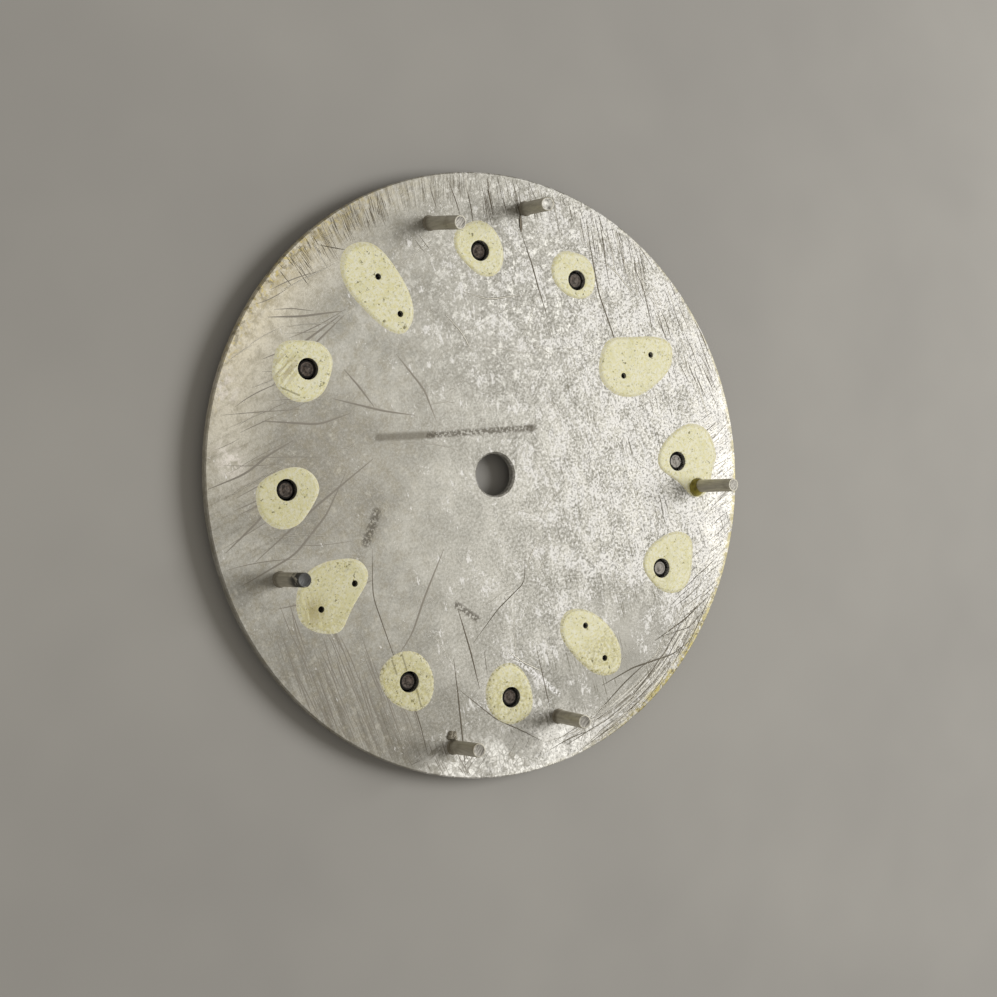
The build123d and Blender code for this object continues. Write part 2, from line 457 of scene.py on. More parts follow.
marks = lay(
    m, (0.5, 0.5, 0.5, 1),
    (radial_marks, near_rim(12.6, 13.4), blob((3.0, 13.4), 5, 0, 2.2)),
    (left_marks, near_rim(7.0, 12.5), blob((-10.5, 6.0), 6, 65, 1.6)),
    (low_marks, near_rim(10.0, 13.4), blob((-12.4, -4.6), 5.5, 110, 1.4), 0.8),
    (arc_marks, near_rim(12.4, 13.4), blob((2.0, -13.6), 4.6, 10, 2.0)),
    (right_marks, near_rim(11.8, 13.6), blob((11.6, -7.4), 5, -120, 1.5), 0.7))
light_marks = node(m, "MapRange", [marks, 0.5, 0.6], **soft)
dark_marks = node(m, "MapRange", [marks, 0.4, 0.5, 1, 0], **soft)

# %% Plate patterns: rubbed and bruised strokes
specks = patches(m, place, 0.14, 0.44, 0.5)
crumbs = patches(m, place, 0.13, 0.45, 0.52, 3.0, 0.7)
stroke = line((-4.1, 4.75), (-1.7, 3.35), 0.42)
broken_stroke = line((-1.9, 3.45), (2.9, 0.75), 0.36)
stroke_end = line((2.75, 0.85), (3.0, 0.7), 0.42)
left_rub = line((-7.3, 1.2), (-6.1, 2.0), 0.55)
low_rub = line((-5.15, -3.85), (-4.65, -5.0), 0.4)
bruise = node(m, "Math", [line((-4.1, -7.6), (-3.5, -9.3), 0.34),
                          line((-3.5, -9.3), (-3.1, -10.6), 0.3)], operation="MAXIMUM")
print("nodes of the plate's patterns:", len(m.node_tree.nodes))

# %% Plate colours, laid one over another
# Clouds: greyer and warmer at the left, calm areas and a painted sheen at the right.
colour = lay(
    m, "#98968e",
    ("#bab8b0", patches(m, place, 2.4, 0.32, 0.68, 4.0)),
    # Painted shade: darker towards the bottom, and in a broad patch at the left, away from the
    # lamp.
    ("#84827b", low_shade_side, 0.18),
    ("#827d72", blob((-7.5, 5.0), 6.5), 0.6),
    ("#7d796e", blob((-12.0, -5.5), 6.0, 115, 1.5), 0.55),
    ("#e2dbc8", near_rim(10.5, 14.0), left_side, blob((-6.5, 12.0), 10.5), 0.95),
    ("#958e7b", patches(m, place, 0.55, 0.42, 0.66, 4.0, 0.7), left_side, 0.5),
    ("#c6c2b6", patches(m, place, 0.45, 0.54, 0.7, 4.0, 0.7), left_side, 0.5),
    ("#8c8a82", calm, right_side, matt, 0.8),
    ("#d2d0ca", painted_sheen, right_side, matt, 0.55),
    ("#92908a", spared, 0.4),
    ("#95938c", blob((6.5, 6.0), 10.0), 0.6),
    ("#92908a", blob((3.3, -11.8), 2.6), 0.5),
    ("#cac8c0", blob((-2.8, -3.5), 6.0), 0.3))
# Glints of the grain and pale flecks, painted in as highlights, a painted highlight along the right
# rim, file marks, and the flaky plating with its bald patch.
dabs = patches(m, place, 0.35, 0.42, 0.6)
bald = node(m, "MapRange", [blob((-6.0, -11.3), 1.1, -49, 1.7), 0.25, 0.5], **soft)
colour = lay(
    m, colour,
    ("#dddcda", glints, glint_share, matt),
    ("#dad7ce", light_marks, mostly_right),
    ("#f7f5f0", near_rim(11.6, 13.4), blob((11.0, -8.0), 5.5, 54, 1.8), 0.9),
    ("#6b6455", dark_marks, partly_right),
    ("#e9e8e3", clusters, blob((7.0, 6.5), 11.0), 0.85),
    ("#eae9e7", flecks, 0.9),
    (foil, flaky_rim, lifted, 0.9),
    ("#6c6757", cracks, flaky_rim, lifted, 0.45),
    ("#e9e3dd", blob((-9.0, 10.6), 1.0, 75, 1.4), dabs, 0.75),
    ("#e9e3dd", blob((-10.6, 7.8), 1.0, 75, 1.4), dabs, 0.75),
    ("#fbfaf7", blob((-4.3, -12.8), 2.0, -20, 1.4), lifted, 0.6),
    ("#a9a7a0", bald, patches(m, place, 0.5, 0.3, 0.48, 4.0, 0.7), 0.75))
# Dark pits and nicks, the crumbled bruise and the rubbed strokes.
colour = lay(
    m, colour,
    ("#504e49", pits, mostly_right, matt, 0.85),
    ("#5e5a4b", nicks, right_side, patches(m, place, 1.8, 0.4, 0.6), 0.8),
    ("#eeedee", crumbs, bruise, 0.7),
    ("#5b5548", stroke, 0.6),
    ("#4c463b", specks, broken_stroke, 0.75),
    ("#4c463b", stroke_end, 0.6),
    ("#4c463b", specks, left_rub, 0.7),
    ("#4c463b", specks, low_rub, 0.75))
# Brass at the edge, bright or tarnished: where it starts and is full, its patches, its area.
for edge_colour, rim, ragged, area, share in [
        ("#ac9f76", (12.6, 14.0), (0.4, 0.36, 0.66, 4.0, 0.7), ((-2.4, 13.6), 7.5, 15, 1.3), 0.8),
        ("#6a6044", (13.3, 14.2), (0.3, 0.5, 0.62), ((-4.0, 13.0), 8.0, 20, 1.2), 0.7),
        ("#d0c07c", (13.6, 14.0), (0.2, 0.54, 0.62), ((-4.5, 13.0), 7.0, 20, 1.2), 0.7),
        ("#bbb28a", (14.0, 14.15), (0.35, 0.38, 0.56), ((8.0, -8.5), 16.0, 50, 1.3), 0.85),
        ("#cbc299", (13.85, 14.1), (0.3, 0.42, 0.56), ((9.5, -10.0), 6.5, 50, 1.4), 0.85),
        ("#b0a24f", (13.7, 14.1), (0.3, 0.4, 0.56), ((2.6, -13.6), 4.5, 10, 1.5), 0.8),
        ("#5f5433", (13.8, 14.1), (0.22, 0.54, 0.6), ((3.0, -13.5), 7.0, 10, 1.4), 0.8)]:
    colour = lay(m, colour, (
        edge_colour, near_rim(*rim), patches(m, place, *ragged), blob(*area), share))
height = node(m, "Math", [grain, 0.5, marks], operation="MULTIPLY_ADD")
plate_finish = end_finish(m, height, 0.02, Base_Color=colour, Metallic=0.6,
                          Roughness=node(m, "MapRange", [flecks, 0, 1, 0.54, 0.66]))
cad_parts["dial_plate"].material_slots[0].material = plate_finish

# %% [markdown]
# ## Scratches and file marks
# A scratch is a shallow groove whose flanks catch the light. Too fine for the CAD, it is drawn
# here as a curve with a thin, tapering section, turned into a mesh and pressed flat onto the back
# face, a few micrometres high. Long ones follow the photograph; the dense file marks round the
# rim are spread by a seeded random draw, each sector with its own direction.

# %% Scratch finishes
# Bare metal in a groove, a little uneven along its length: a bright copy is a painted highlight,
# where a groove glints, and a dark copy is painted shade, where it turns from the lamp; a worn one
# is barely darker than the plate.
def scratch_finish(name, bare, roughness, metallic=0.9):
    """A metal of that colour with traces of the plating."""
    material, place = start_finish(name)
    colour = lay(material, "#979186", (bare, 0.75), (bare, patches(material, place, 0.5, 0.3, 0.7)))
    return end_finish(material, Base_Color=colour, Metallic=metallic, Roughness=roughness)


scratch_highlight = scratch_finish("scratch_painted_highlight", "#d6d3c9", 0.45)
scratch_shade = scratch_finish("scratch_painted_shade", "#6f685b", 0.55)
faint_scratch = scratch_finish("worn_scratch_faint", "#88837a", 0.6, 0.6)


# %% Where a scratch can lie
metal_rim = plate_radius - 0.1


def pin_places(hour):
    """Where a baton's two pins stand on the back face, in mm."""
    return [at_hour(hour, baton_circle + side * pin_spacing / 2).translation.xy / mm
            for side in (-1, 1)]


holes = [(at_hour(hour, round_circle).translation.xy / mm, peg_hole_radius) for hour in round_hours]
holes += [(pin_place, pin_hole_radius) for hour in baton_hours for pin_place in pin_places(hour)]
holes.append((Vector((0, 0)), hand_hole_radius + 0.08))
print("holes that scratches leave out:", len(holes))


def is_metal(spot):
    """True on the bare back face, away from the rim and the holes."""
    return spot.length < metal_rim and all(
        (spot - hole).length > size + 0.04 for hole, size in holes)


# %% Scratch curves
# A curve gets a point about every quarter millimetre, and its tube is pressed nearly flat.
point_spacing = 0.25
flatness = 0.06


def new_scratches(name):
    """An empty curve object whose lines get a thin section."""
    curve = bpy.data.curves.new(name, "CURVE")
    curve.dimensions = "3D"
    curve.bevel_depth = 1 * mm
    curve.bevel_resolution = 0
    curve.resolution_u = 2
    curve.use_fill_caps = True
    scratches = bpy.data.objects.new(name, curve)
    bpy.context.scene.collection.objects.link(scratches)
    return scratches


def add_scratch(scratches, points, width):
    """Scratch through points in mm, left out over holes, thin at its ends and width wide."""
    way = []
    for start, end in zip(points, points[1:]):
        start, end = Vector(start), Vector(end)
        pieces = max(1, round((end - start).length / point_spacing))
        way += [start.lerp(end, i / pieces) for i in range(pieces)]
    runs = [[]]
    for spot in way + [Vector(points[-1])]:
        if is_metal(spot):
            runs[-1].append(spot)
        elif runs[-1]:
            runs.append([])
    for run in runs:
        if len(run) < 3:
            continue
        run = run[::2] + run[-1:] if len(run) % 2 == 0 else run[::2]
        spline = scratches.data.splines.new("NURBS")
        spline.points.add(len(run) - 1)
        for i, spot in enumerate(run):
            fullness = 0.25 + 0.75 * math.sin(math.pi * i / (len(run) - 1))
            spline.points[i].co = (*spot * mm, 0, 1)
            spline.points[i].radius = width / 2 * fullness
        spline.order_u = min(3, len(run))
        spline.use_endpoint_u = True


def bowed(start, end, bow, draw):
    """Five points from start to end, bowed sideways by a share of the length and a bit uneven."""
    start, end = Vector(start), Vector(end)
    side = (end - start).orthogonal()
    return [start.lerp(end, i / 4)
            + side * (bow * math.sin(math.pi * i / 4) + draw.uniform(-0.006, 0.006))
            for i in range(5)]


def finish_scratches(scratches, finish, faint=False):
    """Turns the curves into a mesh and presses it flat; a faint one gets flat faces, so that
    it barely turns the light."""
    only(scratches)
    bpy.ops.object.convert(target="MESH")
    scratches.data.transform(Matrix.Diagonal((1, 1, flatness, 1)))
    if faint:
        bpy.ops.object.shade_flat()
    scratches.data.materials.append(finish)
    settle(scratches, "silvered_brass")


# %% Long scratches, in mm on the back face
deep_lines = [
    [(7.7, 8.6), (7.4, 7.2), (7.1, 6.2), (6.7, 4.7)], [(-5.2, -4.0), (-5.8, -6.1), (-6.4, -7.8)],
    [(11.4, 7.6), (10.8, 6.3), (9.9, 4.1), (9.3, 1.2), (9.0, 0.1)],
    [(-0.9, -11.8), (1.1, -12.2), (3.4, -13.1), (5.1, -13.2)],
    [(2.9, -11.9), (5.0, -12.1), (6.9, -12.0)],
    [(-6.7, -5.8), (-7.4, -7.2), (-8.3, -8.9), (-9.1, -10.4)]]
shallow_lines = [
    [(12.1, 7.2), (11.6, 6.2), (11.0, 4.9), (10.6, 3.9)], [(12.6, 6.9), (12.2, 5.8)],
    [(12.4, 5.3), (11.8, 4.2)], [(12.3, 2.8), (11.6, 0.9)], [(-1.7, 13.4), (-0.6, 12.5)],
    [(-7.2, 0.8), (-8.4, -1.0), (-9.1, -3.9), (-9.7, -7.0), (-10.3, -8.7)],
    [(-0.7, -3.9), (-1.6, -5.1), (-3.5, -5.3), (-5.4, -5.8)], [(-5.2, -6.5), (-5.7, -7.5)],
    [(-7.3, -7.1), (-6.5, -9.5), (-5.7, -10.8), (-5.1, -11.9)], [(-5.0, -7.3), (-5.0, -8.6)],
    [(-2.8, -8.0), (-3.2, -9.1), (-3.9, -11.0)], [(5.7, 12.8), (5.5, 11.7), (5.3, 11.0)],
    [(4.7, 13.0), (4.4, 11.9)], [(2.6, 11.2), (2.7, 10.5)], [(2.9, 11.3), (3.0, 10.5)],
    [(3.2, -11.9), (5.0, -12.6), (6.4, -12.4)]]
worn_lines = [
    [(-12.1, 3.5), (-8.3, 3.9), (-4.9, 4.1)],
    [(-12.1, 7.3), (-10.3, 6.9), (-9.0, 7.0), (-7.6, 6.9)],
    [(-4.2, -1.3), (-6.2, -2.5), (-7.8, -3.6), (-8.7, -3.9)],
    [(-1.2, 7.4), (-0.9, 5.3), (-1.2, 3.8)], [(-5.0, 7.4), (-3.2, 5.6), (-2.0, 4.6)],
    [(-3.8, 8.2), (-3.6, 7.1), (-3.5, 6.0)], [(-8.4, 8.4), (-6.2, 6.8), (-4.6, 6.4)],
    [(-6.8, 10.6), (-4.8, 10.2), (-2.6, 10.3)], [(-7.2, 9.4), (-4.8, 9.8), (-2.4, 10.2)],
    [(-5.6, 12.0), (-4.2, 11.2), (-2.4, 10.4)],
    [(-13.2, 3.0), (-10.4, 2.7), (-8.2, 3.3), (-6.4, 4.3)],
    [(-13.0, 4.6), (-10.9, 4.9), (-8.6, 5.9)], [(-12.4, 1.2), (-10.2, 0.2), (-8.0, -0.4)]]
scratches = new_scratches("long_scratches")
for points in deep_lines:
    add_scratch(scratches, points, 0.075)
for points in shallow_lines:
    add_scratch(scratches, points, 0.05)
worn = new_scratches("worn_scratches")
for points in worn_lines:
    add_scratch(worn, points, 0.1)
finish_scratches(worn, faint_scratch, faint=True)
add_scratch(scratches, [(8.2, 9.5), (8.05, 9.3), (7.9, 9.05), (7.75, 8.75)], 0.3)
finish_scratches(scratches, scratch_shade)

# %% Fine scratches
bright_lines = [
    [(2.0, 7.6), (2.3, 6.4), (2.2, 5.4)], [(3.4, 8.0), (4.4, 7.0), (6.2, 6.2)],
    [(-6.0, 5.4), (-5.6, 5.1), (-5.2, 5.2)], [(-6.9, -3.8), (-7.3, -4.2)],
    [(-1.2, -4.8), (-0.6, -4.2), (0.2, -3.9)], [(4.6, 9.6), (5.0, 8.6), (6.0, 8.0)],
    [(10.9, 5.4), (11.4, 4.4), (11.6, 3.2)], [(-4.2, -7.2), (-3.8, -8.2), (-3.2, -9.2)]]
draw = random.Random(12)
scratches = new_scratches("fine_scratches")
for points in bright_lines:
    add_scratch(scratches, points, 0.09)
for i in range(120):
    middle = Vector((draw.uniform(-12, 12), draw.uniform(-12, 12)))
    if middle.length < 12.3 and middle.dot(picture_right.xy) > -4:
        way = math.radians(draw.choice([-60, -20, 20, 80]) + draw.uniform(-25, 25))
        half = Vector((math.cos(way), math.sin(way))) * draw.uniform(0.3, 1.6)
        points = bowed(middle - half, middle + half, draw.uniform(-0.08, 0.08), draw)
        add_scratch(scratches, points, draw.uniform(0.02, 0.045))
finish_scratches(scratches, scratch_highlight)

# %% File marks round the rim
# Each sector: from and to angle, the strokes' direction or None for radial with its skew, inner
# and outer radius, shortest and longest stroke, width, what its darker ones are, their share,
# number. Angles in degrees, sizes in mm.
marks_light = new_scratches("file_marks_light")
marks_dark = new_scratches("file_marks_dark")
marks_faint = new_scratches("file_marks_faint")
file_sectors = [
    (16, 62, 68, 0, 12.5, 14.1, 0.5, 1.8, 0.05, marks_dark, 0.75, 110),
    (60, 104, None, 6, 13.0, 14.1, 0.6, 1.5, 0.035, marks_dark, 0.6, 80),
    (100, 160, -8, 0, 10.4, 13.9, 1.0, 3.2, 0.045, marks_faint, 0.6, 26),
    (110, 170, -30, 0, 9.4, 12.5, 1.5, 4.0, 0.05, marks_faint, 0.8, 12),
    (180, 215, -103, 0, 10.8, 14.0, 1.2, 3.4, 0.055, marks_faint, 1.0, 44),
    (215, 262, None, 40, 12.9, 14.1, 0.4, 1.3, 0.035, marks_dark, 0.5, 34),
    (252, 304, None, 88, 12.6, 14.1, 1.6, 4.4, 0.05, marks_dark, 0.45, 54),
    (294, 345, 0, 0, 12.0, 14.1, 0.6, 2.2, 0.04, marks_dark, 0.6, 60),
    (343, 378, 82, 0, 12.2, 14.1, 0.8, 2.4, 0.05, marks_dark, 0.5, 60),
    (192, 232, -100, 0, 12.9, 14.1, 0.4, 1.3, 0.06, marks_faint, 1.0, 70),
    (80, 107, None, 10, 12.9, 14.1, 0.3, 0.9, 0.05, marks_dark, 1.0, 60)]
for (low, high, direction, skew, inner, outer, shortest, longest, width, darker, dark_share,
     number) in file_sectors:
    for i in range(number):
        angle = math.radians(draw.uniform(low, high))
        middle = Vector((math.cos(angle), math.sin(angle))) * draw.uniform(inner, outer)
        way = math.radians(direction) if direction is not None else angle - math.radians(skew)
        way += math.radians(draw.uniform(-4, 4))
        half = Vector((math.cos(way), math.sin(way))) * draw.uniform(shortest, longest) / 2
        ends = [end * min(1, metal_rim / end.length) for end in (middle - half, middle + half)]
        if (ends[1] - ends[0]).length > 0.2:
            kind = marks_light if draw.random() >= dark_share else darker
            points = bowed(*ends, draw.uniform(-0.05, 0.05), draw)
            add_scratch(kind, points, width * draw.uniform(0.6, 1.2))
finish_scratches(marks_light, scratch_highlight)
finish_scratches(marks_dark, scratch_shade)
finish_scratches(marks_faint, faint_scratch, faint=True)

# %% [markdown]
# ## Feet
# A dial foot is a short post of drawn wire, welded to the back and cut to length, so its side is
# dull and its cut end bright. Each is a cylinder tilted to its own lean, its base cut level with
# the back face by a bisect, and joined to a low weld.

# %% Feet finishes
def close_to(point, full, none):
    """1 within the first distance in mm of a point, 0 beyond the second."""
    away = node(m, "VectorMath", [place, point], operation="DISTANCE")
    return node(m, "MapRange", [away, full, none, 1, 0], **soft)


# Dull tin with drawn lines along the wire, browner stains, painted shade at the base and one black
# tip.
m, place = start_finish("dull_tinned_wire")
stained_tip = foot_place("c2") + Vector((0.09, 0, foot_length))
place_along = node(m, "Mapping", {"Vector": place, "Scale": (10, 10, 0.7)})
drawn = node(m, "TexNoise", [place_along, 1, 3.0, 0.6])
colour = lay(
    m, "#b8b4a7",
    ("#ccc8bb", node(m, "MapRange", [drawn, 0.35, 0.65], **soft)),
    ("#8d8473", patches(m, place, 0.7, 0.5, 0.75), 0.6),
    ("#23262b", close_to(stained_tip, 0.6, 1.3), patches(m, place, 0.4, 0.32, 0.46), 0.9),
    ("#5f5443", along((0, 0, 1), 0.05, 0.5, 1, 0), 0.55))
wire_finish = end_finish(m, drawn, 0.01, Base_Color=colour, Metallic=0.55, Roughness=0.55)

# A nipped end: grooves across bright and dull metal, a painted highlight on one end and one stained
# black.
m, place = start_finish("bright_cut_end")
highlit_tip = foot_place("b1") + Vector((-0.42, 0, foot_length))
grooves = strokes(m, place, 0.06, 0.36, 20)
colour = lay(
    m, "#6d6a64",
    ("#a5a29b", node(m, "MapRange", [grooves, 0.35, 0.6], **soft)),
    ("#efeee8", close_to(highlit_tip, 0.5, 1.0), patches(m, place, 0.2, 0.3, 0.6), 0.9),
    ("#34373b", close_to(stained_tip, 0.35, 0.7), 0.85))
cut_finish = end_finish(m, grooves, 0.006, Base_Color=colour, Metallic=0.5, Roughness=0.5)


# %% Make the feet
# A post starts a little under the back face, where it is then cut off level.
buried = 0.5
chamfer = 0.03


def assign_picked(piece, finish):
    """Gives the picked faces this one of the piece's finishes."""
    piece.active_material_index = piece.data.materials.find(finish.name)
    bpy.ops.object.material_slot_assign()


def combine(piece, other, operation):
    """Joins another solid to the piece or cuts it away, and removes it."""
    modify(piece, "BOOLEAN", object=other, operation=operation, solver="EXACT")
    bpy.data.objects.remove(other)


def make_foot(foot):
    """A leaning post with a chamfered cut end and a weld round its base."""
    right, up = foot_leans[foot]
    lean = Vector((right, up, (1 - right ** 2 - up ** 2) ** 0.5))
    base = foot_place(foot)
    start_piece()
    bpy.ops.mesh.primitive_cylinder_add(
        vertices=40, radius=foot_radius * mm, depth=(foot_length + buried) * mm,
        location=(base + lean * (foot_length - buried) / 2) * mm,
        rotation=lean.to_track_quat("Z", "Y").to_euler())
    post = bpy.context.object
    post.data.materials.append(wire_finish)
    post.data.materials.append(cut_finish)
    bpy.ops.object.transform_apply()
    shape_edit(post)
    pick("FACE", lambda middle, normal: normal.dot(lean) > 0.9)
    bpy.ops.mesh.bevel(offset=chamfer * mm, segments=2, affect="EDGES")
    pick("FACE", lambda middle, normal: normal.dot(lean) > 0.98)
    bpy.ops.mesh.inset(thickness=0.02 * mm)
    assign_picked(post, cut_finish)
    bpy.ops.mesh.inset(thickness=0.07 * mm)
    bpy.ops.transform.translate(value=lean * -0.025 * mm)
    cut_level()
    start_piece()
    bpy.ops.mesh.primitive_cone_add(
        vertices=40, radius1=weld_radius * mm, radius2=(foot_radius + 0.02) * mm,
        depth=weld_height * mm, location=(base + Vector((0, 0, weld_height / 2))) * mm)
    weld = bpy.context.object
    weld.data.materials.append(wire_finish)
    bpy.ops.object.transform_apply()
    shape_edit(weld)
    pick("FACE", lambda middle, normal: normal.z > 0.9)
    bpy.ops.mesh.bevel(offset=0.01 * mm, segments=2, affect="EDGES")
    combine(post, weld, "UNION")
    merge_doubles(post)
    post.name = post.data.name = "wire_foot_" + foot
    smooth(post)
    settle(post, "foot_wire", "dial_foot_" + foot)


for foot in foot_places:
    make_foot(foot)

# %% [markdown]
# ## What the maker left at two feet
# Dark glue has pooled round the base of one foot, and a crumb of solder sticks to another. Both
# are spheres cut level with the back face, made uneven by a displacement from a cloud texture.

# %% Pool of dark glue and crumb of solder
# Thick old glue: olive, lighter where it runs thin, with a soft shine.
m, place = start_finish("dark_pooled_glue")
waves = node(m, "TexNoise", [place, 1 / 0.35, 3.0, 0.6])
thin = node(m, "MapRange", [waves, 0.35, 0.65], **soft)
pool_finish = end_finish(m, waves, 0.01, Roughness=0.4, IOR=1.5, Alpha=0.75,
                         Base_Color=lay(m, "#7d7012", ("#aea23c", thin)))

unevenness = bpy.data.textures.new("unevenness", "CLOUDS")
unevenness.noise_scale = 0.25 * mm


def make_lump(name, middle, radii, finish, strength, record_slot):
    """An uneven lump on the back face, with its middle and half sizes in mm."""
    start_piece()
    bpy.ops.mesh.primitive_ico_sphere_add(
        subdivisions=5, radius=1, location=middle * mm, scale=Vector(radii) * mm)
    lump = bpy.context.object
    lump.name = lump.data.name = name
    lump.data.materials.append(finish)
    bpy.ops.object.transform_apply()
    modify(lump, "DISPLACE", texture=unevenness, strength=strength * mm, mid_level=0.5)
    shape_edit(lump)
    cut_level()
    smooth(lump, 60)
    settle(lump, record_slot)


make_lump("pooled_glue_c1", foot_place("c1") + Vector((-0.1, 0, 0)), (0.47, 0.45, 0.36),
          pool_finish, 0.05, "clear_glue")
make_lump("solder_crumb_b2", foot_place("b2") + Vector((0.22, 0.44, 0.02)), (0.25, 0.27, 0.16),
          wire_finish, 0.3, "foot_wire")

# %% [markdown]
# ## Round markers
# A round hour marker is turned from bar: an open cup for the luminous paint on the front, and a
# thick peg through the plate. From the back only the peg's oxidised end shows, with the small
# mark that the parting tool left in its middle. One is modelled and copied to eight hours.

# %% Marker finishes
# Bright turned steel, just uneven enough to soften what it mirrors.
m, place = start_finish("polished_marker_steel")
turned = node(m, "TexNoise", [place, 1 / 0.05, 2.0, 0.5])
steel_finish = end_finish(m, turned, 0.002, Metallic=1.0, Roughness=0.22,
                          Base_Color=lay(m, "#c4c4c2", ("#dededc", turned)))

# Brown-black oxide in fine mottles, with painted highlights: the pegs at the right, towards the
# lamp, are painted a lighter grey in patches.
m, place = start_finish("oxidised_peg_end")
mottle = node(m, "TexNoise", [place, 1 / 0.12, 4.0, 0.65])
colour = lay(
    m, "#2b2521",
    ("#61574f", node(m, "MapRange", [mottle, 0.38, 0.62], **soft)),
    ("#57453a", patches(m, place, 0.4, 0.5, 0.7), 0.5),
    ("#b5b2ac", along(picture_right, 3, 12), patches(m, place, 0.2, 0.3, 0.5), 0.75))
peg_finish = end_finish(m, mottle, 0.02, Base_Color=colour, Metallic=0.4, Roughness=0.6)

# Near black with a hint of brown, painted shade, so that a pin in its hole is a deep dot and the
# gap round a peg is dark.
m, place = start_finish("pin_end_hole_shade")
soot = node(m, "TexNoise", [place, 1 / 0.08])
hole_shade_finish = end_finish(m, Base_Color=lay(m, "#0d0c0b", ("#1d1a17", soot)), Roughness=0.9)

# Chalky cream with a sandy grain, browner in patches where it has aged.
m, place = start_finish("aged_luminous_paint")
grit = node(m, "TexNoise", [place, 1 / 0.06, 4.0, 0.7])
colour = lay(
    m, "#cfcaa4",
    ("#dfdcbd", node(m, "MapRange", [grit, 0.3, 0.7], **soft)),
    ("#b9ad7c", patches(m, place, 0.7, 0.5, 0.75, 3.0, 0.5), 0.5))
lume_finish = end_finish(m, grit, 0.02, Base_Color=colour, Roughness=0.85)


# %% Make one round marker
def make_rod(radius, low, high, sides, *finishes, middle=(0, 0)):
    """A round rod along Z between two heights, all in mm."""
    start_piece()
    bpy.ops.mesh.primitive_cylinder_add(
        vertices=sides, radius=radius * mm, depth=(high - low) * mm,
        location=(middle[0] * mm, middle[1] * mm, (low + high) / 2 * mm))
    rod = bpy.context.object
    for finish in finishes:
        rod.data.materials.append(finish)
    bpy.ops.object.transform_apply()
    return rod


def extrude(height):
    """Extrudes the picked faces along Z, in mm."""
    bpy.ops.mesh.extrude_region_move(TRANSFORM_OT_translate={"value": (0, 0, height * mm)})


shoulder_radius = 0.6
shaft_bottom = -0.25
round_marker = make_rod(cup_radius, marker_top, plate_front, 64,
                        steel_finish, peg_finish, hole_shade_finish)
shape_edit(round_marker)
# The peg, painted black round its foot as the shade in the gap that the hole shows.
pick("FACE", lambda middle, normal: normal.z > 0.9)
bpy.ops.mesh.inset(thickness=(cup_radius - shoulder_radius) * mm)
assign_picked(round_marker, hole_shade_finish)
bpy.ops.mesh.inset(thickness=(shoulder_radius - peg_radius) * mm)
extrude(-peg_recess - plate_front)
bpy.ops.mesh.bevel(offset=0.09 * mm, segments=2, affect="EDGES")
pick("FACE", lambda middle, normal: middle.z > shaft_bottom)
assign_picked(round_marker, hole_shade_finish)
pick("FACE", lambda middle, normal: normal.z > 0.99 and middle.z > -peg_recess - 0.001)
assign_picked(round_marker, peg_finish)
# The parting tool's mark.
terrace((0.05, -0.004), (0.03, -0.02), (0.07, 0.0), (0.03, 0.018))
# The open cup with its rounded lip.
pick("FACE", lambda middle, normal: normal.z < -0.9)
bpy.ops.mesh.inset(thickness=marker_wall * mm)
extrude(paint_bottom - marker_top)
pick("EDGE", lambda middle, normal: middle.z < marker_top + 0.01)
bpy.ops.mesh.bevel(offset=0.04 * mm, segments=3, affect="EDGES")
smooth(round_marker)
print("round marker faces:", len(round_marker.data.polygons))

# %% Make one dot of luminous paint
dot = make_rod(cup_radius - marker_wall - paint_gap, paint_top, paint_bottom, 48, lume_finish)
shape_edit(dot)
pick("FACE", lambda middle, normal: normal.z < -0.9)
terrace((0.08, -0.012), (0.2, -0.012), (0.3, -0.008))
smooth(dot, 50)


# %% Copy them to the eight hours
def copy_to_hours(hours, circle, *patterns):
    """Copies each pattern to the hours and removes it. A pattern comes with its copies' name,
    their record slot and the CAD node that each stands for."""
    for hour in hours:
        for pattern, name, record_slot, cad_name in patterns:
            piece = copy_piece(pattern, f"{name}_{hour:02d}", at_hour(hour, circle))
            settle(piece, record_slot, f"{cad_name}_{hour:02d}")
    for pattern, *_ in patterns:
        bpy.data.objects.remove(pattern)


copy_to_hours(round_hours, round_circle,
              (round_marker, "turned_marker", "marker_metal", "marker_cup"),
              (dot, "luminous_dot", "luminous_paint", "paint_dot"))

# %% [markdown]
# ## Baton markers
# A baton is a milled bar with a pocket for paint and two thin pins. The pins end deep in their
# holes, and their ends are painted black as the shade there, so from the back they are small black
# dots.

# %% Make one baton and its paint
def make_bar(length, width, low, high, *finishes):
    """A square-cornered bar with its length along Y, all in mm."""
    start_piece()
    bpy.ops.mesh.primitive_cube_add(size=1, location=(0, 0, (low + high) / 2 * mm),
                                    scale=(width * mm, length * mm, (high - low) * mm))
    bar = bpy.context.object
    for finish in finishes:
        bar.data.materials.append(finish)
    bpy.ops.object.transform_apply()
    return bar


edge_bevel = 0.05
pin_root = plate_front - 0.05
baton = make_bar(baton_length, baton_width, marker_top, plate_front, steel_finish, hole_shade_finish)
shape_edit(baton)
pick("FACE", lambda middle, normal: normal.z < -0.9)
bpy.ops.mesh.bevel(offset=edge_bevel * mm, segments=2, affect="EDGES")
pick("FACE", lambda middle, normal: normal.z < -0.99)
bpy.ops.mesh.inset(thickness=(marker_wall - edge_bevel) * mm)
extrude(paint_bottom - marker_top)
for side in (-1, 1):
    pin = make_rod(pin_radius, pin_root, -pin_recess, 24, hole_shade_finish,
                   middle=(0, side * pin_spacing / 2))
    shape_edit(pin)
    pick("FACE", lambda middle, normal: normal.z > 0.9)
    terrace((0.03, 0.015))
    combine(baton, pin, "UNION")
smooth(baton)
print("baton faces:", len(baton.data.polygons))

